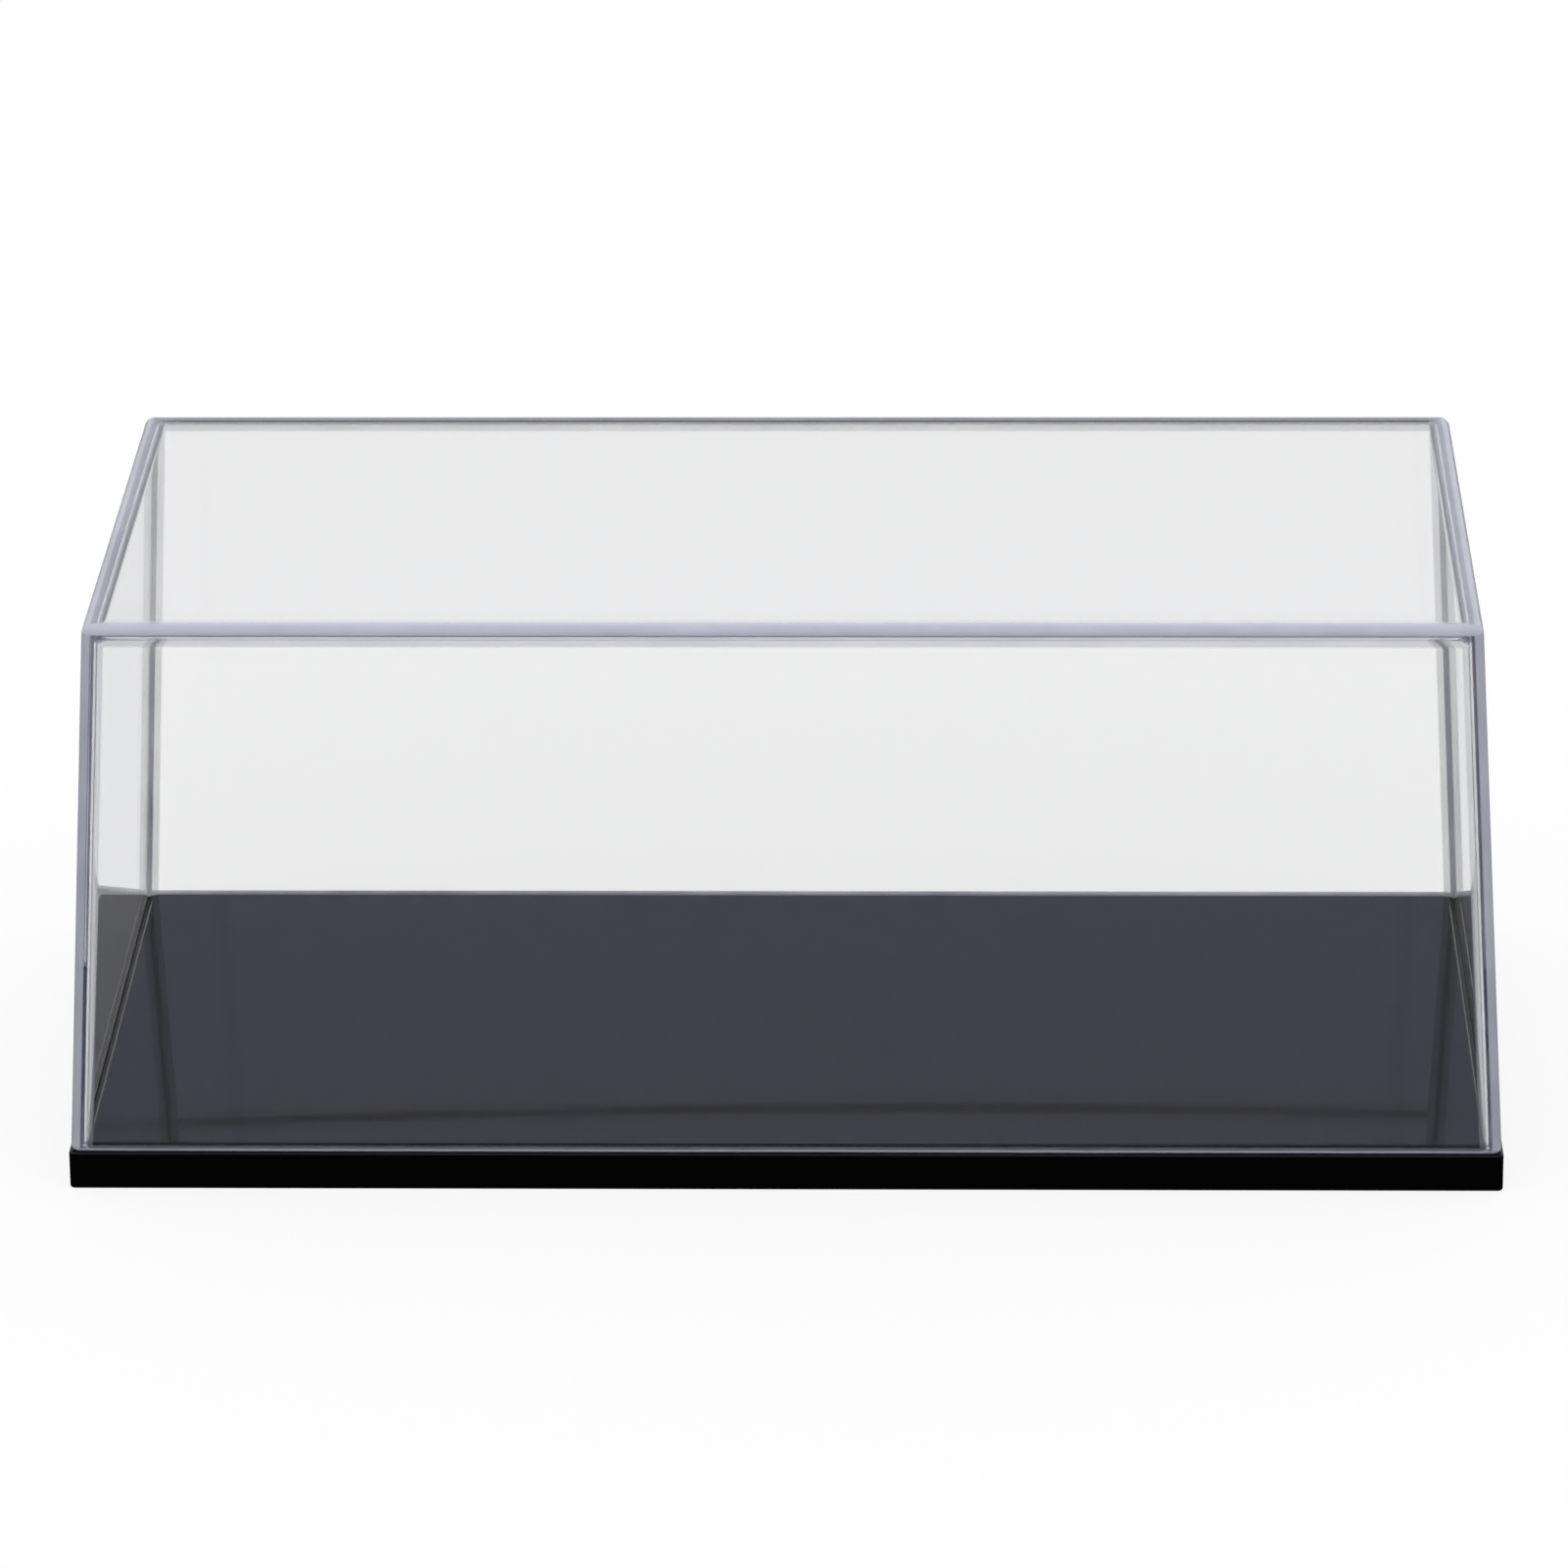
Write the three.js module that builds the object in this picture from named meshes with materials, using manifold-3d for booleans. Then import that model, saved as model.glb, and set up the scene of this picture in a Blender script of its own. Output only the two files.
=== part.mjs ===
// Clear display case: a moulded transparent cover that stands on a black moulded base and lifts straight off.
// Millimetres, +Z up, the front towards -Y. The origin is the middle of the base's footprint, on the table.

import * as THREE from "three";
import Module from "manifold-3d";

// Black base: a plate with a ledge all round for the cover and a slightly raised deck inside it
const baseWidth = 140;
const baseDepth = 70;
const rimHeight = 3.8; // from the table to the ledge
const deckRise = 0.5; // the deck above the ledge
const baseCornerRadius = 0.5;
const baseFootRadius = 0.3; // rounding where the skirt meets the table
const rimEdgeRadius = 0.15; // rounding of the ledge's outer edge
const deckEdgeRadius = 0.25;

// The base's hollow underside
const deckThickness = 1.8;
const skirtThickness = 2.2;
const pocketCornerRadius = 1;
const ribThickness = 1;
const ribSetback = 0.4; // the ribs stay this far above the table
const crossRibCount = 5;
const longRibCount = 2;

// Clear cover: a box open at the bottom, narrower at the top so that it leaves its mould
const coverSetback = 0.15; // the cover's foot behind the base's face, all round
const coverHeight = 53.7;
const wallThickness = 1.1;
const topThickness = 1.2;
const sideDraftDegrees = 3;
const frontDraftDegrees = 2.5;
const coverCornerRadius = 1;
const coverTopEdgeRadius = 0.95;
const coverFootRadius = 0.3; // rounding of the foot's outer edge
const cavityCornerRadius = 1.3;
const cavityTopEdgeRadius = 1.2;

// Fit between the two
const deckClearance = 0.5; // play between the deck's edge and the cover's walls

// Making
const cutOverrun = 1; // how far a cutting block runs past the face that it opens
const jointDepth = 0.3; // how deep one block of a moulding is sunk in the next
const cornerSteps = 8;
const edgeSteps = 6;

const wasm = await Module();
wasm.setup();

const slope = (degrees) => Math.tan(THREE.MathUtils.degToRad(degrees));

// The points of a rectangle with round corners, anticlockwise as seen from above.
function roundedRing({ z, halfX, halfY, radius }) {
  const points = [];
  for (let corner = 0; corner < 4; corner++) {
    const alongX = corner === 0 || corner === 3 ? 1 : -1;
    const alongY = corner < 2 ? 1 : -1;
    for (let step = 0; step <= cornerSteps; step++) {
      const angle = (Math.PI / 2) * (corner + step / cornerSteps);
      const x = alongX * (halfX - radius) + radius * Math.cos(angle);
      const y = alongY * (halfY - radius) + radius * Math.sin(angle);
      points.push(new THREE.Vector3(x, y, z));
    }
  }
  return points;
}

// A quarter-round edge as steps: how far each section is drawn in, and how far it lies from the flat face.
function edgeRound(radius) {
  const rounds = [];
  for (let step = 0; step <= edgeSteps; step++) {
    const angle = (Math.PI / 2) * (step / edgeSteps);
    rounds.push({ inset: radius * (1 - Math.cos(angle)), below: radius * (1 - Math.sin(angle)) });
  }
  return rounds;
}

// The sections of a drafted block, from the bottom up. halfX, halfY and cornerRadius hold at its bottom face.
function draftedSections(block) {
  const { bottom, top, halfX, halfY, cornerRadius } = block;
  const { sideSlope = 0, frontSlope = 0, bottomEdge = 0, topEdge = 0 } = block;
  const section = (z, inset) => ({
    z,
    halfX: halfX - (z - bottom) * sideSlope - inset,
    halfY: halfY - (z - bottom) * frontSlope - inset,
    radius: cornerRadius - inset,
  });
  const lower = bottomEdge
    ? edgeRound(bottomEdge).reverse().map(({ inset, below }) => section(bottom + below, inset))
    : [section(bottom, 0)];
  const upper = topEdge
    ? edgeRound(topEdge).map(({ inset, below }) => section(top - below, inset))
    : [section(top, 0)];
  return [...lower, ...upper];
}

// One closed solid through the sections, with a flat cap at each end.
function loftedSolid(sections) {
  const rings = sections.map(roundedRing);
  const count = rings[0].length;
  const vertices = rings.flat();
  const first = sections[0];
  const last = sections[sections.length - 1];
  const bottomCentre = vertices.push(new THREE.Vector3(0, 0, first.z)) - 1;
  const topCentre = vertices.push(new THREE.Vector3(0, 0, last.z)) - 1;
  const triangles = [];
  for (let point = 0; point < count; point++) {
    const next = (point + 1) % count;
    for (let level = 0; level + 1 < rings.length; level++) {
      const here = level * count;
      const above = here + count;
      triangles.push(here + point, here + next, above + next);
      triangles.push(here + point, above + next, above + point);
    }
    const topRing = (rings.length - 1) * count;
    triangles.push(bottomCentre, next, point);
    triangles.push(topCentre, topRing + point, topRing + next);
  }
  return new wasm.Manifold(
    new wasm.Mesh({
      numProp: 3,
      vertProperties: new Float32Array(vertices.flatMap((vertex) => vertex.toArray())),
      triVerts: new Uint32Array(triangles),
    }),
  );
}

const draftedBlock = (block) => loftedSolid(draftedSections(block));

// A plain bar between two corners.
function bar(low, high) {
  const size = high.clone().sub(low);
  const box = new THREE.BoxGeometry(size.x, size.y, size.z).translate(
    (low.x + high.x) / 2,
    (low.y + high.y) / 2,
    (low.z + high.z) / 2,
  );
  const corners = new Map();
  const position = box.getAttribute("position");
  const vertexOf = [];
  const vertices = [];
  for (let index = 0; index < position.count; index++) {
    const corner = new THREE.Vector3().fromBufferAttribute(position, index);
    const key = corner.toArray().join(" ");
    if (!corners.has(key)) {
      corners.set(key, corners.size);
      vertices.push(...corner.toArray());
    }
    vertexOf.push(corners.get(key));
  }
  return new wasm.Manifold(
    new wasm.Mesh({
      numProp: 3,
      vertProperties: new Float32Array(vertices),
      triVerts: new Uint32Array([...box.index.array].map((index) => vertexOf[index])),
    }),
  );
}

// A solid as a three.js mesh.
function meshOf(name, solid, material) {
  const { vertProperties, triVerts, numProp } = solid.getMesh();
  const positions = new Float32Array((vertProperties.length / numProp) * 3);
  for (let vertex = 0; vertex * numProp < vertProperties.length; vertex++) {
    const start = vertex * numProp;
    positions.set(vertProperties.subarray(start, start + 3), vertex * 3);
  }
  const geometry = new THREE.BufferGeometry();
  geometry.setAttribute("position", new THREE.BufferAttribute(positions, 3));
  geometry.setIndex(new THREE.BufferAttribute(new Uint32Array(triVerts), 1));
  const flat = geometry.toNonIndexed();
  flat.computeVertexNormals();
  const mesh = new THREE.Mesh(flat, material);
  mesh.name = name;
  return mesh;
}

// The cover's foot and the space inside it, from which the deck takes its size
const coverHalfX = baseWidth / 2 - coverSetback;
const coverHalfY = baseDepth / 2 - coverSetback;
const cavityHalfX = coverHalfX - wallThickness;
const cavityHalfY = coverHalfY - wallThickness;
const sideSlope = slope(sideDraftDegrees);
const frontSlope = slope(frontDraftDegrees);

function makeCover() {
  const foot = rimHeight;
  const shell = draftedBlock({
    bottom: foot,
    top: foot + coverHeight,
    halfX: coverHalfX,
    halfY: coverHalfY,
    cornerRadius: coverCornerRadius,
    sideSlope,
    frontSlope,
    bottomEdge: coverFootRadius,
    topEdge: coverTopEdgeRadius,
  });
  // The cavity's sides run on below the foot at the same draft.
  const cavity = draftedBlock({
    bottom: foot - cutOverrun,
    top: foot + coverHeight - topThickness,
    halfX: cavityHalfX + cutOverrun * sideSlope,
    halfY: cavityHalfY + cutOverrun * frontSlope,
    cornerRadius: cavityCornerRadius,
    sideSlope,
    frontSlope,
    topEdge: cavityTopEdgeRadius,
  });
  return shell.subtract(cavity);
}

function makeBase() {
  const deckTop = rimHeight + deckRise;
  const plate = draftedBlock({
    bottom: 0,
    top: rimHeight,
    halfX: baseWidth / 2,
    halfY: baseDepth / 2,
    cornerRadius: baseCornerRadius,
    bottomEdge: baseFootRadius,
    topEdge: rimEdgeRadius,
  });
  const deck = draftedBlock({
    bottom: rimHeight - jointDepth,
    top: deckTop,
    halfX: cavityHalfX - deckClearance,
    halfY: cavityHalfY - deckClearance,
    cornerRadius: cavityCornerRadius - deckClearance,
    topEdge: deckEdgeRadius,
  });
  const pocketHalfX = baseWidth / 2 - skirtThickness;
  const pocketHalfY = baseDepth / 2 - skirtThickness;
  const pocketTop = deckTop - deckThickness;
  const pocket = draftedBlock({
    bottom: -cutOverrun,
    top: pocketTop,
    halfX: pocketHalfX,
    halfY: pocketHalfY,
    cornerRadius: pocketCornerRadius,
  });
  let base = plate.add(deck).subtract(pocket);

  // Ribs across and along the pocket, evenly spaced
  const ribTop = pocketTop + jointDepth;
  for (let rib = 1; rib <= crossRibCount; rib++) {
    const x = -pocketHalfX + (rib * 2 * pocketHalfX) / (crossRibCount + 1);
    const low = new THREE.Vector3(x - ribThickness / 2, -pocketHalfY - jointDepth, ribSetback);
    const high = new THREE.Vector3(x + ribThickness / 2, pocketHalfY + jointDepth, ribTop);
    base = base.add(bar(low, high));
  }
  for (let rib = 1; rib <= longRibCount; rib++) {
    const y = -pocketHalfY + (rib * 2 * pocketHalfY) / (longRibCount + 1);
    const low = new THREE.Vector3(-pocketHalfX - jointDepth, y - ribThickness / 2, ribSetback);
    const high = new THREE.Vector3(pocketHalfX + jointDepth, y + ribThickness / 2, ribTop);
    base = base.add(bar(low, high));
  }
  return base;
}

const clearPlastic = new THREE.MeshStandardMaterial({
  color: 0xeef0f4,
  roughness: 0.05,
  metalness: 0,
  transparent: true,
  opacity: 0.3,
});
const blackPlastic = new THREE.MeshStandardMaterial({ color: 0x060607, roughness: 0.12, metalness: 0 });

const displayCase = new THREE.Group();
displayCase.add(meshOf("black_base", makeBase(), blackPlastic));
displayCase.add(meshOf("clear_cover", makeCover(), clearPlastic));

export default displayCase;
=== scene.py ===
"""Clear display case on a gloss black base: meshes, finishes, studio and camera."""

import logging
from collections.abc import Mapping, Sequence
from dataclasses import dataclass
from enum import Enum
from typing import Any

import bpy
import numpy as np
from mathutils import Matrix, Vector


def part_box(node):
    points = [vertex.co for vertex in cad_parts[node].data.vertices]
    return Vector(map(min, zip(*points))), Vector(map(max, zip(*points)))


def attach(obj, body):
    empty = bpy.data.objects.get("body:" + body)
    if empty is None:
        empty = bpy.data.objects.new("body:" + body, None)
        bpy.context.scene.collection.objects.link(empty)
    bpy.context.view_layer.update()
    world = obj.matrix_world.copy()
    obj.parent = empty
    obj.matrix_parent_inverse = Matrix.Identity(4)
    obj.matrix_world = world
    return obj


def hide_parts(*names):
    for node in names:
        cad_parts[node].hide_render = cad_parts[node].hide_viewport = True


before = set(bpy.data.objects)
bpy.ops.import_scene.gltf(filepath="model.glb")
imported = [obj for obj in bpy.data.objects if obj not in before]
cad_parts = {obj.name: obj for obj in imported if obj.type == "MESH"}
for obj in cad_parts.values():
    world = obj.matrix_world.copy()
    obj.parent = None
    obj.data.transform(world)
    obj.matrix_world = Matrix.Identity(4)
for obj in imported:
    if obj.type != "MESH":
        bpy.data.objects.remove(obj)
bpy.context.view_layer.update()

MM = 0.001
LOG = logging.getLogger("display_case")

# The mesh attribute that says how far a vertex lies into a round, and so how much painted edge light it gets
ROUNDING = "rounding"
# The turn of the surface past which a round counts as fully round, and the share of that in a hollow round,
# which set the painted edge light
FULLY_ROUND = np.radians(8.0)
HOLLOW_SHARE = 0.5
# The least corner radius of a ring
SHARPEST = 0.03 * MM

WHITE = (1.0, 1.0, 1.0)
# Between 0 and 1, to tell whether a whole number is over 0
BELOW_ONE = 0.5
# The numbers of a Mix node's sockets for colours
MIX_COLOUR_INPUTS = (6, 7)
MIX_COLOUR_OUTPUT = 2


class Body(Enum):
    """The frame's bodies."""

    BASE = "base"
    COVER = "cover"


class Slot(Enum):
    """The record's material slots."""

    CLEAR = "clear_plastic"
    BLACK = "black_plastic"


class Round(Enum):
    """Whether a round is a solid edge or a hollow fillet, as the sign of its normals."""

    EDGE = 1.0
    FILLET = -1.0


class Value:
    """A number in a shader graph. Arithmetic on it adds Math nodes."""

    def __init__(self, graph: "Graph", socket: bpy.types.NodeSocket) -> None:
        """Wraps an output socket.

        Args:
            graph: The graph that the socket belongs to.
            socket: The output that gives the number.
        """
        self.graph = graph
        self.socket = socket

    def math(self, operation: str, first: Any, second: Any = 0.0) -> "Value":
        """Adds one Math node.

        Args:
            operation: The node's operation.
            first: A number or a Value.
            second: A number or a Value.

        Returns:
            The node's result.
        """
        node = self.graph.add("ShaderNodeMath", {"operation": operation}, {0: first, 1: second})
        return Value(self.graph, node.outputs[0])

    def __add__(self, other: Any) -> "Value":
        """Returns self + other."""
        return self.math("ADD", self, other)

    def __radd__(self, other: Any) -> "Value":
        """Returns other + self."""
        return self.math("ADD", other, self)

    def __sub__(self, other: Any) -> "Value":
        """Returns self - other."""
        return self.math("SUBTRACT", self, other)

    def __rsub__(self, other: Any) -> "Value":
        """Returns other - self."""
        return self.math("SUBTRACT", other, self)

    def __mul__(self, other: Any) -> "Value":
        """Returns self * other."""
        return self.math("MULTIPLY", self, other)

    def __rmul__(self, other: Any) -> "Value":
        """Returns other * self."""
        return self.math("MULTIPLY", other, self)

    def __abs__(self) -> "Value":
        """Returns the value without its sign."""
        return self.math("ABSOLUTE", self)

    def __gt__(self, other: Any) -> "Value":
        """Returns 1 where self is greater than other, else 0."""
        return self.math("GREATER_THAN", self, other)

    def __lt__(self, other: Any) -> "Value":
        """Returns 1 where self is less than other, else 0."""
        return self.math("LESS_THAN", self, other)

    def __or__(self, other: Any) -> "Value":
        """Returns the greater of self and other, so 1 where either mask is 1."""
        return self.math("MAXIMUM", self, other)


class Graph:
    """A node tree under construction."""

    def __init__(self, tree: bpy.types.NodeTree) -> None:
        """Empties a tree to fill it.

        Args:
            tree: The tree.
        """
        self.tree = tree
        tree.nodes.clear()

    def add(
        self,
        kind: str,
        settings: Mapping[str, Any] | None = None,
        inputs: Mapping[str | int, Any] | None = None,
    ) -> bpy.types.Node:
        """Adds a node.

        Args:
            kind: The node's type.
            settings: Its own settings, such as an operation, set before its sockets.
            inputs: Values or links of its input sockets, by name or number.

        Returns:
            The node.
        """
        node = self.tree.nodes.new(kind)
        for name, setting in (settings or {}).items():
            setattr(node, name, setting)
        for name, given in (inputs or {}).items():
            link = given.socket if isinstance(given, Value) else given
            if isinstance(link, bpy.types.NodeSocket):
                self.tree.links.new(link, node.inputs[name])
            else:
                node.inputs[name].default_value = link
        return node

    def value(self, kind: str, output: str | int, inputs: Mapping[str | int, Any] | None = None) -> Value:
        """Adds a node that gives a number.

        Args:
            kind: The node's type.
            output: The output to read, by name or number.
            inputs: Values or links of its input sockets.

        Returns:
            The output as a Value.
        """
        return Value(self, self.add(kind, {}, inputs).outputs[output])

    def noise(self, scale: float, detail: float) -> Value:
        """Adds a noise on the object's own coordinates.

        Args:
            scale: Noise cells in a metre.
            detail: Octaves.

        Returns:
            The noise, about 0 to 1.
        """
        place = self.add("ShaderNodeTexCoord").outputs["Object"]
        return self.value("ShaderNodeTexNoise", "Fac", {"Vector": place, "Scale": scale, "Detail": detail})

    def bump(self, height: Value, depth: float) -> bpy.types.NodeSocket:
        """Adds a Bump node.

        Args:
            height: The relief, 0 to 1.
            depth: What a relief of 1 stands for, in metres.

        Returns:
            The bent normal.
        """
        return self.add("ShaderNodeBump", {}, {"Height": height, "Distance": depth}).outputs[0]

    def ramp(self, place: Value, stops: Sequence[tuple[float, Sequence[float]]]) -> bpy.types.NodeSocket:
        """Adds a Color Ramp.

        Args:
            place: The place along the ramp.
            stops: Places from 0 to 1, with their colours.

        Returns:
            The colour there.
        """
        node = self.add("ShaderNodeValToRGB", {}, {0: place})
        elements = node.color_ramp.elements
        while len(elements) < len(stops):
            elements.new(1.0)
        for element, (position, colour) in zip(elements, stops):
            element.position = position
            element.color = (*colour, 1.0)
        return node.outputs[0]

    def blend(self, factor: Value, first: Any, second: Any) -> bpy.types.NodeSocket:
        """Adds a colour Mix node.

        Args:
            factor: 0 gives the first colour and 1 the second.
            first: Three numbers or a colour output.
            second: Three numbers or a colour output.

        Returns:
            The blended colour.
        """
        ends = {0: factor}
        for number, colour in zip(MIX_COLOUR_INPUTS, (first, second)):
            ends[number] = colour if isinstance(colour, bpy.types.NodeSocket) else (*colour, 1.0)
        return self.add("ShaderNodeMix", {"data_type": "RGBA"}, ends).outputs[MIX_COLOUR_OUTPUT]


@dataclass(frozen=True)
class ClearPlastic:
    """Polished transparent plastic, clear on its faces, with a pale lavender edge light painted on its
    rounds.

    Its body takes light on long ways through it, and red the most. The pale lavender on the rounds is painted
    edge light: its share is how far a full round hides what is behind it, and streak how much that varies
    along it. haze is the greatest roughness of the polish.
    """

    ior: float = 1.49
    # Painted edge light on the rounds: its share on a full round, its colour and its roughness
    edge_light: float = 0.8
    edge_light_colour: tuple[float, float, float] = (0.61, 0.627, 0.73)
    edge_light_roughness: float = 0.35
    streak: float = 0.7
    streak_scale: float = 110.0
    streak_detail: float = 2.0
    passed_colour: tuple[float, float, float] = (0.0, 0.03, 0.21)
    density: float = 10.0
    ripple_scale: float = 45.0
    ripple_detail: float = 2.0
    ripple_depth: float = 0.004 * MM
    haze: float = 0.004
    haze_detail: float = 3.0

    def build(self) -> bpy.types.Material:
        """Returns the material."""
        material = bpy.data.materials.new(Slot.CLEAR.value)
        material.use_nodes = True
        graph = Graph(material.node_tree)
        ripple = graph.noise(self.ripple_scale, self.ripple_detail)
        rounding = Value(graph, graph.add("ShaderNodeAttribute", {"attribute_name": ROUNDING}).outputs["Fac"])
        clear = graph.add(
            "ShaderNodeBsdfPrincipled",
            {},
            {
                "Base Color": (*WHITE, 1.0),
                "Roughness": self.haze * graph.noise(self.ripple_scale, self.haze_detail),
                "IOR": self.ior,
                "Transmission Weight": 1.0,
                "Normal": graph.bump(ripple, self.ripple_depth),
            },
        )
        # Painted edge light: a rough pale lavender surface mixed in on the rounds in place of the clear one
        painted_edge_light = graph.add(
            "ShaderNodeBsdfPrincipled",
            {},
            {"Base Color": (*self.edge_light_colour, 1.0), "Roughness": self.edge_light_roughness, "IOR": self.ior},
        )
        streaks = 1.0 - self.streak / 2 + self.streak * graph.noise(self.streak_scale, self.streak_detail)
        share = self.edge_light * rounding * streaks
        either = graph.add("ShaderNodeMixShader", {}, {0: share, 1: clear.outputs[0], 2: painted_edge_light.outputs[0]})
        inside = graph.add(
            "ShaderNodeVolumeAbsorption", {}, {"Color": (*self.passed_colour, 1.0), "Density": self.density}
        )
        graph.add(
            "ShaderNodeOutputMaterial", {}, {"Surface": either.outputs[0], "Volume": inside.outputs[0]}
        )
        return material


@dataclass(frozen=True)
class BlackPlastic:
    """Moulded gloss black plastic with a slightly uneven polish.

    haze is how much the roughness rises where broad patches and fine grain meet.
    """

    colour: tuple[float, float, float] = (0.0022, 0.0022, 0.0026)
    ior: float = 1.49
    roughness: float = 0.012
    haze: float = 0.02
    patch_scale: float = 70.0
    patch_detail: float = 3.0
    grain_scale: float = 900.0
    grain_detail: float = 2.0
    ripple_scale: float = 35.0
    ripple_detail: float = 1.0
    ripple_depth: float = 0.0006 * MM

    def build(self) -> bpy.types.Material:
        """Returns the material."""
        material = bpy.data.materials.new(Slot.BLACK.value)
        material.use_nodes = True
        graph = Graph(material.node_tree)
        patches = graph.noise(self.patch_scale, self.patch_detail)
        grain = graph.noise(self.grain_scale, self.grain_detail)
        ripple = graph.noise(self.ripple_scale, self.ripple_detail)
        surface = graph.add(
            "ShaderNodeBsdfPrincipled",
            {},
            {
                "Base Color": (*self.colour, 1.0),
                "Roughness": self.roughness + self.haze * (patches * grain),
                "IOR": self.ior,
                "Normal": graph.bump(ripple, self.ripple_depth),
            },
        )
        graph.add("ShaderNodeOutputMaterial", {}, {"Surface": surface.outputs[0]})
        return material


@dataclass(frozen=True)
class Walls:
    """Four walls round a rectangle with round corners, leaning inwards as they rise.

    half_x, half_y and radius hold at height z. The slopes say how much each half shrinks for each unit of
    height.
    """

    half_x: float
    half_y: float
    radius: float
    z: float = 0.0
    slope_x: float = 0.0
    slope_y: float = 0.0


@dataclass(frozen=True)
class Rings:
    """Rings of a skin, one array entry for each.

    A ring is a rectangle with round corners, given by its halves, corner radius and height. out and up are
    the parts of its normal away from the middle and upwards, before the walls' lean is added. least is the
    least rounding of its points.
    """

    half_x: np.ndarray
    half_y: np.ndarray
    radius: np.ndarray
    z: np.ndarray
    out: np.ndarray
    up: np.ndarray
    slope_x: np.ndarray
    slope_y: np.ndarray
    least: np.ndarray

    def columns(self) -> list[np.ndarray]:
        """Returns every array as a column."""
        return [getattr(self, name)[:, None] for name in self.__dataclass_fields__]


def joined(parts: Sequence[Rings]) -> Rings:
    """Returns the rings of all parts in order."""
    names = Rings.__dataclass_fields__
    return Rings(*(np.concatenate([getattr(part, name) for part in parts]) for name in names))


def round_rings(
    walls: Walls,
    z: float,
    inset: float,
    radius: float,
    turn: tuple[float, float],
    steps: int,
    kind: Round = Round.EDGE,
    least: float = 0.0,
) -> Rings:
    """The rings of a round that runs along walls.

    With a as the angle from straight out, the inset from the walls is inset - radius * cos a and the height
    is z + radius * sin a. The normal is (cos a, sin a), or its reverse in a fillet. Each half is the walls'
    half, less its slope times the rise, less the inset. The corner radius is the walls' radius less the
    inset, but never under SHARPEST.

    Args:
        walls: The walls.
        z: The height of the round's centre line.
        inset: How far that line lies inside the walls. It is negative outside them.
        radius: The round's radius.
        turn: The first and last angle, in degrees.
        steps: How many faces the round has.
        kind: A solid edge or a hollow fillet.
        least: The least rounding where the round meets a level face, so that the painted edge light reaches
            onto the face there too. It falls to nothing at the walls, as the sine of the angle.

    Returns:
        The rings, from the first angle to the last.
    """
    angle = np.radians(np.linspace(*turn, steps + 1))
    height = z + radius * np.sin(angle)
    drawn_in = inset - radius * np.cos(angle)
    rise = height - walls.z
    ones = np.ones_like(angle)
    return Rings(
        half_x=walls.half_x - walls.slope_x * rise - drawn_in,
        half_y=walls.half_y - walls.slope_y * rise - drawn_in,
        radius=np.maximum(walls.radius - drawn_in, SHARPEST),
        z=height,
        out=kind.value * np.cos(angle),
        up=kind.value * np.sin(angle),
        slope_x=walls.slope_x * ones,
        slope_y=walls.slope_y * ones,
        least=least * np.abs(np.sin(angle)),
    )


def mesh_object(
    name: str,
    points: np.ndarray,
    faces: Sequence[np.ndarray],
    normals: np.ndarray | None = None,
    rounding: np.ndarray | None = None,
) -> bpy.types.Object:
    """Puts arrays into a new mesh object at the origin.

    Args:
        name: The object's name.
        points: The vertices, in metres.
        faces: Arrays of faces, each array with its own number of corners.
        normals: One normal for each vertex, or None for flat faces.
        rounding: How far each vertex lies into a round, 0 to 1, or None to leave that out.

    Returns:
        The object, linked to the scene.
    """
    corners = np.concatenate([part.ravel() for part in faces]).astype(np.int32)
    sizes = np.concatenate([np.full(part.shape[0], part.shape[1]) for part in faces]).astype(np.int32)
    mesh = bpy.data.meshes.new(name)
    mesh.vertices.add(points.shape[0])
    mesh.vertices.foreach_set("co", points.astype(np.float32).ravel())
    mesh.loops.add(corners.size)
    mesh.loops.foreach_set("vertex_index", corners)
    mesh.polygons.add(sizes.size)
    mesh.polygons.foreach_set("loop_start", np.cumsum(sizes, dtype=np.int32) - sizes)
    mesh.update(calc_edges=True)
    mesh.validate()
    if normals is not None:
        mesh.polygons.foreach_set("use_smooth", np.ones(sizes.size, dtype=bool))
        unit = normals / np.linalg.norm(normals, axis=1, keepdims=True)
        mesh.normals_split_custom_set_from_vertices(unit.tolist())
    if rounding is not None:
        mesh.attributes.new(ROUNDING, "FLOAT", "POINT").data.foreach_set("value", rounding.astype(np.float32))
    made = bpy.data.objects.new(name, mesh)
    bpy.context.scene.collection.objects.link(made)
    return made


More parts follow.
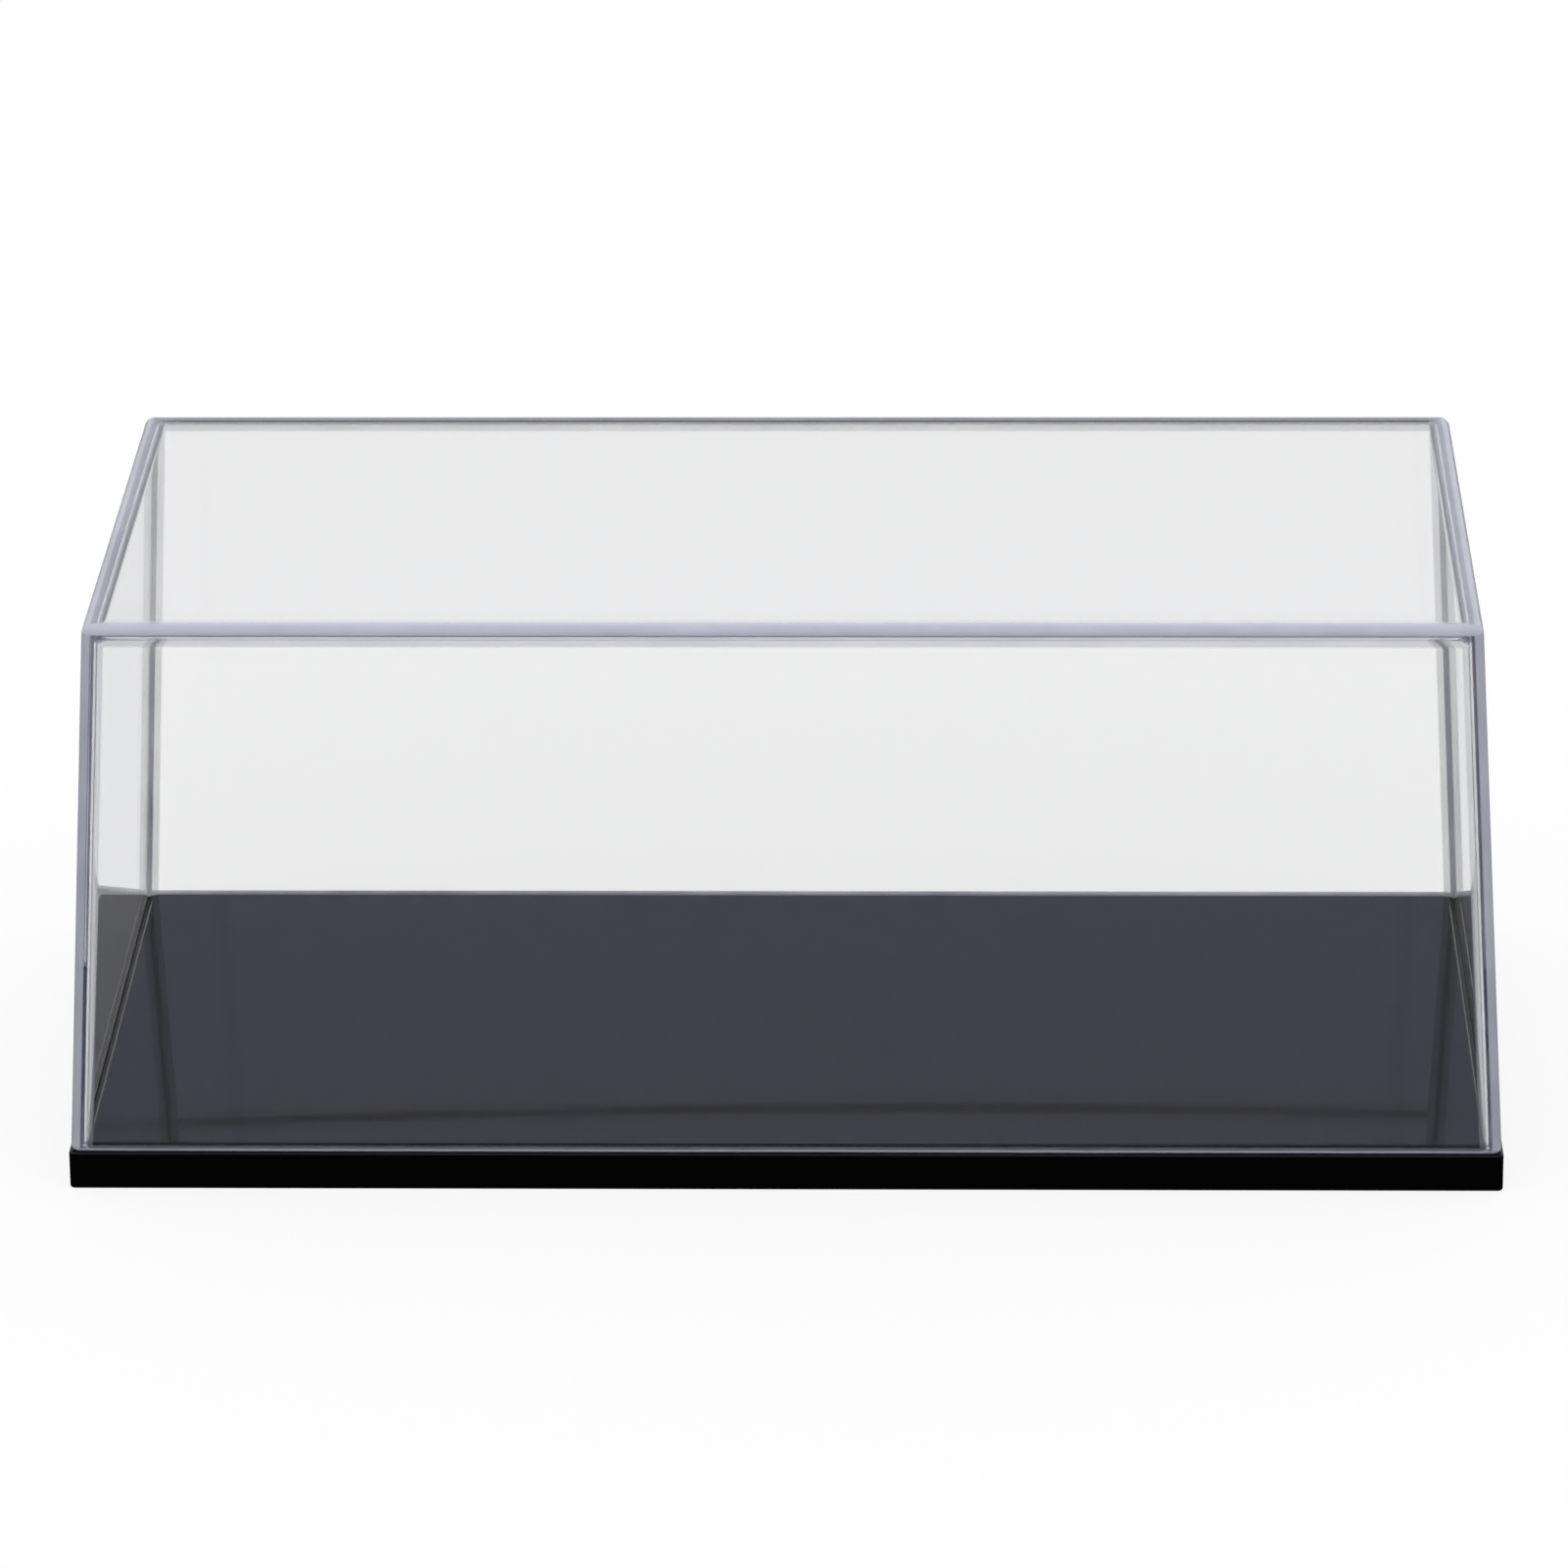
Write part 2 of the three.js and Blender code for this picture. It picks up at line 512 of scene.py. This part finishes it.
def skin(name: str, rings: Rings, corner_steps: int) -> bpy.types.Object:
    """A closed skin through rings, with a flat fan at each end.

    With a running through a quarter turn in each corner, a ring's point is the corner's centre plus the
    corner radius times (cos a, sin a). Its normal is (out cos a, out sin a, up + out lean), where lean is
    slope_x |cos a| + slope_y |sin a|. The rounding is the angle between the normal without the lean and the
    nearest axis, as a share of FULLY_ROUND and at most 1, times HOLLOW_SHARE on hollow rounds, and never
    under the ring's least. It is 0 in the middle of each fan.

    Args:
        name: The object's name.
        rings: The rings, from one end round the material to the other.
        corner_steps: How many faces a corner has.

    Returns:
        The object, with its exact normals stored.
    """
    quarters = np.arange(4)[:, None] + np.linspace(0.0, 1.0, corner_steps + 1)[None, :]
    angle = (np.pi / 2 * quarters).ravel()
    cos, sin = np.cos(angle), np.sin(angle)
    side_x = np.repeat([1.0, -1.0, -1.0, 1.0], corner_steps + 1)
    side_y = np.repeat([1.0, 1.0, -1.0, -1.0], corner_steps + 1)
    half_x, half_y, radius, z, out, up, slope_x, slope_y, least = rings.columns()
    x = side_x * (half_x - radius) + radius * cos
    y = side_y * (half_y - radius) + radius * sin
    lean = slope_x * np.abs(cos) + slope_y * np.abs(sin)
    points = np.stack([x, y, np.broadcast_to(z, x.shape)], axis=-1).reshape(-1, 3)
    normals = np.stack([out * cos, out * sin, up + out * lean], axis=-1).reshape(-1, 3)
    ends = [0, -1]
    end_points = np.stack([np.zeros(2), np.zeros(2), rings.z[ends]], axis=-1)
    end_normals = np.stack([np.zeros(2), np.zeros(2), rings.up[ends]], axis=-1)
    # The rounding sets how much painted edge light each point gets
    level = np.abs(np.stack([out * cos, out * sin, np.broadcast_to(up, x.shape)], axis=-1)).max(axis=-1)
    turned = np.minimum(np.arccos(np.minimum(level, 1.0)) / FULLY_ROUND, 1.0)
    painted_edge_light = np.maximum(turned * np.where(out < 0.0, HOLLOW_SHARE, 1.0), least)
    rounding = np.concatenate([painted_edge_light.ravel(), np.zeros(2)])

    around = angle.size
    here = np.arange(around)
    following = (here + 1) % around
    start = (np.arange(rings.z.size - 1) * around)[:, None]
    corners = [start + here, start + following, start + around + following, start + around + here]
    quads = np.stack(corners, axis=-1).reshape(-1, 4)
    first, last = points.shape[0], points.shape[0] + 1
    last_ring = points.shape[0] - around
    fans = np.concatenate(
        [
            np.stack([np.full(around, first), following, here], axis=-1),
            np.stack([np.full(around, last), last_ring + here, last_ring + following], axis=-1),
        ]
    )
    all_points = np.concatenate([points, end_points])
    return mesh_object(name, all_points, [quads, fans], np.concatenate([normals, end_normals]), rounding)


def bars(name: str, low: np.ndarray, high: np.ndarray) -> bpy.types.Object:
    """Plain bars, each between two corners.

    Args:
        name: The object's name.
        low: Each bar's lowest corner.
        high: Each bar's highest corner.

    Returns:
        One object with all bars.
    """
    pick = np.array([[0, 0, 0], [1, 0, 0], [1, 1, 0], [0, 1, 0], [0, 0, 1], [1, 0, 1], [1, 1, 1], [0, 1, 1]])
    sides = np.array([[0, 3, 2, 1], [4, 5, 6, 7], [0, 1, 5, 4], [1, 2, 6, 5], [2, 3, 7, 6], [3, 0, 4, 7]])
    points = np.where(pick[None, :, :] == 1, high[:, None, :], low[:, None, :]).reshape(-1, 3)
    first = pick.shape[0] * np.arange(low.shape[0])
    faces = (sides[None, :, :] + first[:, None, None]).reshape(-1, 4)
    return mesh_object(name, points, [faces])


def dress(piece: bpy.types.Object, material: bpy.types.Material, body: Body, node: str) -> None:
    """Gives a piece its finish and its place in the frame.

    Args:
        piece: The piece.
        material: Its material.
        body: The body that it rides on.
        node: The CAD node that it stands for.
    """
    piece.data.materials.append(material)
    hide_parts(node)
    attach(piece, body.value)
    LOG.info("%s: %d faces, rides on %s", piece.name, len(piece.data.polygons), body.value)


@dataclass
class Cover:
    """The clear cover: one moulding with four leaning walls and a flat top, open below.

    The drafts are in degrees. The foot stands an air gap above the ledge. The foot's face and the top's
    border get painted edge light through their least rounding, and the top's fades out over top_fade.
    """

    node: str = "clear_cover"
    wall: float = 1.1 * MM
    top_thickness: float = 1.2 * MM
    side_draft: float = 3.0
    front_draft: float = 2.5
    corner_radius: float = 1.0 * MM
    top_edge_radius: float = 0.95 * MM
    cavity_corner_radius: float = 1.1 * MM
    cavity_edge_radius: float = 1.2 * MM
    foot_radius: float = 0.45 * MM
    air_gap: float = 0.02 * MM
    # Least rounding, and so painted edge light, of the foot's face and of the top's border
    foot_edge_light: float = 1.0
    top_edge_light: float = 0.7
    top_fade: float = 1.3 * MM
    corner_steps: int = 20
    edge_steps: int = 20
    foot_steps: int = 8

    def walls(self, depth: float, radius: float) -> Walls:
        """The cover's four walls.

        Args:
            depth: How far inside the outer faces.
            radius: Their corner radius.

        Returns:
            The walls, given at the cover's foot.
        """
        low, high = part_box(self.node)
        return Walls(
            half_x=high[0] - depth,
            half_y=high[1] - depth,
            radius=radius,
            z=low[2],
            slope_x=float(np.tan(np.radians(self.side_draft))),
            slope_y=float(np.tan(np.radians(self.front_draft))),
        )

    def build(self) -> bpy.types.Object:
        """Builds the shell, from the middle of its ceiling round the foot to the middle of its top.

        Returns:
            The shell.
        """
        low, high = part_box(self.node)
        outer = self.walls(0.0, self.corner_radius)
        inner = self.walls(self.wall, self.cavity_corner_radius)
        foot = low[2] + self.air_gap + self.foot_radius
        ceiling = high[2] - self.top_thickness - self.cavity_edge_radius
        top = high[2] - self.top_edge_radius
        parts = [
            round_rings(
                inner, ceiling, self.cavity_edge_radius, self.cavity_edge_radius, (90, 0), self.edge_steps,
                Round.FILLET,
            ),
            # The foot's face and the top's border get painted edge light through their least rounding
            round_rings(
                inner, foot, -self.foot_radius, self.foot_radius, (180, 270), self.foot_steps,
                least=self.foot_edge_light,
            ),
            round_rings(
                outer, foot, self.foot_radius, self.foot_radius, (-90, 0), self.foot_steps,
                least=self.foot_edge_light,
            ),
            round_rings(
                outer, top, self.top_edge_radius, self.top_edge_radius, (0, 90), self.edge_steps,
                least=self.top_edge_light,
            ),
            round_rings(outer, high[2], self.top_edge_radius + self.top_fade, 0.0, (90, 90), 0),
        ]
        return skin("cover_shell", joined(parts), self.corner_steps)

    def dress(self, piece: bpy.types.Object) -> None:
        """Gives the shell its finish and body."""
        dress(piece, ClearPlastic().build(), Body.COVER, self.node)


@dataclass
class Base:
    """The black base: a ledge for the cover round a raised deck, hollow and ribbed underneath."""

    node: str = "black_base"
    rim_height: float = 3.8 * MM
    corner_radius: float = 0.5 * MM
    foot_radius: float = 0.3 * MM
    rim_radius: float = 0.15 * MM
    ledge: float = 1.75 * MM
    deck_corner_radius: float = 0.8 * MM
    deck_edge_radius: float = 0.25 * MM
    deck_fillet: float = 0.08 * MM
    deck_thickness: float = 1.8 * MM
    skirt: float = 2.2 * MM
    pocket_corner_radius: float = 1.0 * MM
    pocket_edge_radius: float = 0.12 * MM
    pocket_fillet: float = 0.3 * MM
    rib_thickness: float = 1.0 * MM
    rib_setback: float = 0.4 * MM
    cross_ribs: int = 5
    long_ribs: int = 2
    corner_steps: int = 16
    edge_steps: int = 8

    def build(self) -> list[bpy.types.Object]:
        """Builds the moulding's skin and its ribs.

        Returns:
            The two pieces.
        """
        _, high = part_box(self.node)
        outer = Walls(high[0], high[1], self.corner_radius)
        deck = Walls(high[0] - self.ledge, high[1] - self.ledge, self.deck_corner_radius)
        pocket = Walls(high[0] - self.skirt, high[1] - self.skirt, self.pocket_corner_radius)
        ceiling = high[2] - self.deck_thickness
        steps = self.edge_steps
        parts = [
            round_rings(
                pocket, ceiling - self.pocket_fillet, self.pocket_fillet, self.pocket_fillet, (90, 0), steps,
                Round.FILLET,
            ),
            round_rings(
                pocket, self.pocket_edge_radius, -self.pocket_edge_radius, self.pocket_edge_radius,
                (180, 270), steps,
            ),
            round_rings(outer, self.foot_radius, self.foot_radius, self.foot_radius, (-90, 0), steps),
            round_rings(
                outer, self.rim_height - self.rim_radius, self.rim_radius, self.rim_radius, (0, 90), steps
            ),
            round_rings(
                deck, self.rim_height + self.deck_fillet, -self.deck_fillet, self.deck_fillet, (270, 180),
                steps, Round.FILLET,
            ),
            round_rings(
                deck, high[2] - self.deck_edge_radius, self.deck_edge_radius, self.deck_edge_radius, (0, 90),
                steps,
            ),
        ]
        moulding = skin("base_moulding", joined(parts), self.corner_steps)
        return [moulding, self.build_ribs(pocket, ceiling)]

    def build_ribs(self, pocket: Walls, ceiling: float) -> bpy.types.Object:
        """Builds the ribs: whole ones across, and short ones along between them.

        Args:
            pocket: The pocket's walls.
            ceiling: The height of the pocket's ceiling.

        Returns:
            One piece with all ribs.
        """
        half = self.rib_thickness / 2
        across = np.linspace(-pocket.half_x, pocket.half_x, self.cross_ribs + 2)
        along = np.linspace(-pocket.half_y, pocket.half_y, self.long_ribs + 2)[1:-1]
        cross = across[1:-1]
        starts, rows = np.meshgrid(across[:-1] + half, along)
        ends, _ = np.meshgrid(across[1:] - half, along)
        low_x = np.concatenate([cross - half, starts.ravel()])
        high_x = np.concatenate([cross + half, ends.ravel()])
        low_y = np.concatenate([np.full(cross.size, -pocket.half_y), rows.ravel() - half])
        high_y = np.concatenate([np.full(cross.size, pocket.half_y), rows.ravel() + half])
        low_z = np.full(low_x.size, self.rib_setback)
        high_z = np.full(low_x.size, ceiling)
        return bars("base_ribs", np.stack([low_x, low_y, low_z], -1), np.stack([high_x, high_y, high_z], -1))

    def dress(self, pieces: Sequence[bpy.types.Object]) -> None:
        """Gives the pieces their finish and body."""
        material = BlackPlastic().build()
        for piece in pieces:
            dress(piece, material, Body.BASE, self.node)


@dataclass(frozen=True)
class Studio:
    """A white floor and sky, which gloss faces mirror darker.

    floor_lit is the share of the floor's white that comes from the sky's light, and so the depth of the
    shadow. Rays that have passed the cover see the floor darker by shade within the two shade halves, a
    painted shadow close to the case. Those that were also mirrored see it as bright as front_mirrored in
    front of front_edge, a painted dark reflection. sky is what mirrored rays see, by the sine of the height:
    a painted reflection, with a thin painted dark line across it, darker by its given depth.
    """

    floor_half: float = 8.0
    floor_drop: float = 0.02 * MM
    floor_lit: float = 0.16
    # Painted dark reflection: how bright mirrored rays that passed the cover see the floor in front of
    # front_edge
    front_mirrored: float = 0.35
    front_edge: float = -35.0 * MM
    # Painted shadow: how much darker rays that passed the cover see the floor close to the case, and the half
    # sizes of that patch
    shade: float = 0.8
    shade_half_x: float = 76.0 * MM
    shade_half_y: float = 44.0 * MM
    # What mirrored rays see of the sky, by the sine of the height: a painted reflection, greyer higher up
    sky: tuple[tuple[float, tuple[float, float, float]], ...] = (
        (0.0, WHITE),
        (0.3, (0.66, 0.66, 0.67)),
        (0.335, (0.62, 0.62, 0.64)),
        (0.365, (0.285, 0.295, 0.39)),
        (1.0, (0.28, 0.29, 0.37)),
    )
    # A thin painted dark line in what mirrored rays see of the sky: its height as a sine, its half width and
    # its depth
    dark_line_sine: float = 0.3908
    dark_line_half: float = 0.0004
    dark_line_depth: float = 0.9
    bounces: int = 48

    def build(self) -> None:
        """Builds the floor and the sky, and allows light enough turns inside the clear walls."""
        self.build_floor()
        self.build_sky()
        cycles = bpy.context.scene.cycles
        cycles.max_bounces = self.bounces
        cycles.transmission_bounces = self.bounces
        cycles.glossy_bounces = self.bounces
        view = bpy.context.scene.view_settings
        view.view_transform = "Standard"

    def build_floor(self) -> None:
        """Builds the floor.

        It is white and keeps the object's shadow. Seen through the cover, it is darker close to the case: a
        painted shadow. Mirrored rays that never passed the cover see it black: a painted dark reflection.
        """
        half = self.floor_half
        corners = np.array([[-half, -half], [half, -half], [half, half], [-half, half]])
        points = np.column_stack([corners, np.full(corners.shape[0], -self.floor_drop)])
        floor = mesh_object("floor", points, [np.arange(corners.shape[0])[None, :]])
        material = bpy.data.materials.new("floor")
        material.use_nodes = True
        graph = Graph(material.node_tree)
        light = graph.add("ShaderNodeLightPath")
        passed = Value(graph, light.outputs["Is Transmission Ray"])
        mirrored = Value(graph, light.outputs["Glossy Depth"]) > BELOW_ONE
        outside = Value(graph, light.outputs["Transmission Depth"]) < BELOW_ONE
        place = graph.add("ShaderNodeTexCoord").outputs["Object"]
        parts = graph.add("ShaderNodeSeparateXYZ", {}, {"Vector": place})
        front = Value(graph, parts.outputs["Y"]) < self.front_edge
        # Painted shadow: the patch of floor close to the case that rays through the cover see darker
        along_x = abs(Value(graph, parts.outputs["X"])) < self.shade_half_x
        along_y = abs(Value(graph, parts.outputs["Y"])) < self.shade_half_y
        shaded = along_x * along_y
        seen = Value(graph, light.outputs["Is Camera Ray"]) + passed * (1.0 - self.shade * shaded)
        # Painted dark reflection: mirrored rays see the floor black, or dim in front of the case once they
        # passed the cover
        unlit = mirrored * (outside | front)
        lit = graph.add("ShaderNodeBsdfDiffuse", {}, {"Color": (*(self.floor_lit,) * 3, 1.0)})
        glow = graph.add("ShaderNodeEmission", {}, {"Strength": (1.0 - self.floor_lit) * seen})
        pale = graph.add("ShaderNodeAddShader", {}, {0: lit.outputs[0], 1: glow.outputs[0]})
        dark = graph.add("ShaderNodeEmission", {}, {"Strength": self.front_mirrored * (1.0 - outside)})
        either = graph.add("ShaderNodeMixShader", {}, {0: unlit, 1: pale.outputs[0], 2: dark.outputs[0]})
        graph.add("ShaderNodeOutputMaterial", {}, {"Surface": either.outputs[0]})
        floor.data.materials.append(material)

    def build_sky(self) -> None:
        """Builds the sky: white, but for mirrored rays greyer with its height as a painted reflection, with
        one thin painted dark line.
        """
        world = bpy.data.worlds.new("studio")
        bpy.context.scene.world = world
        world.use_nodes = True
        graph = Graph(world.node_tree)
        way = graph.add("ShaderNodeTexCoord").outputs["Generated"]
        height = graph.value("ShaderNodeSeparateXYZ", "Z", {"Vector": way})
        mirrored = graph.value("ShaderNodeLightPath", "Glossy Depth") > BELOW_ONE
        # Painted dark line in the sky's reflections, at one height
        dark_line = (abs(height - self.dark_line_sine) < self.dark_line_half) * mirrored
        colour = graph.blend(mirrored, WHITE, graph.ramp(height, self.sky))
        strength = 1.0 - self.dark_line_depth * dark_line
        sky = graph.add("ShaderNodeBackground", {}, {"Color": colour, "Strength": strength})
        graph.add("ShaderNodeOutputWorld", {}, {"Surface": sky.outputs[0]})


@dataclass(frozen=True)
class PhotoCamera:
    """A camera that shows a case of this size as the photograph does, fitted to the case's edges in it."""

    frame_pixels: float = 1600.0
    focal_pixels: float = 8340.8
    sensor: float = 36.0
    place: tuple[float, float, float] = (19.80 * MM, -767.28 * MM, 319.64 * MM)
    pitch: float = 20.728
    yaw: float = -1.530
    roll: float = -0.483
    farthest: float = 100.0

    def build(self) -> None:
        """Builds the camera: it looks along +Y, turned by yaw, dipped by pitch and tilted by roll."""
        data = bpy.data.cameras.new("camera")
        data.sensor_width = self.sensor
        data.lens = self.focal_pixels / self.frame_pixels * self.sensor
        data.clip_end = self.farthest
        camera = bpy.data.objects.new("camera", data)
        pitch, yaw, roll = np.radians([self.pitch, self.yaw, self.roll])
        ahead = Vector((np.sin(yaw) * np.cos(pitch), np.cos(yaw) * np.cos(pitch), -np.sin(pitch)))
        level = Vector((np.cos(yaw), -np.sin(yaw), 0.0))
        above = level.cross(ahead)
        right = np.cos(roll) * level + np.sin(roll) * above
        top = np.cos(roll) * above - np.sin(roll) * level
        turn = Matrix((right, top, -ahead)).transposed().to_4x4()
        camera.matrix_world = Matrix.Translation(self.place) @ turn
        bpy.context.scene.collection.objects.link(camera)
        bpy.context.scene.camera = camera


def main() -> None:
    """Builds the case, the studio and the camera."""
    logging.basicConfig(level=logging.INFO, format="%(name)s: %(message)s")
    PhotoCamera().build()
    base = Base()
    base.dress(base.build())
    cover = Cover()
    cover.dress(cover.build())
    Studio().build()


if __name__ == "__main__":
    main()
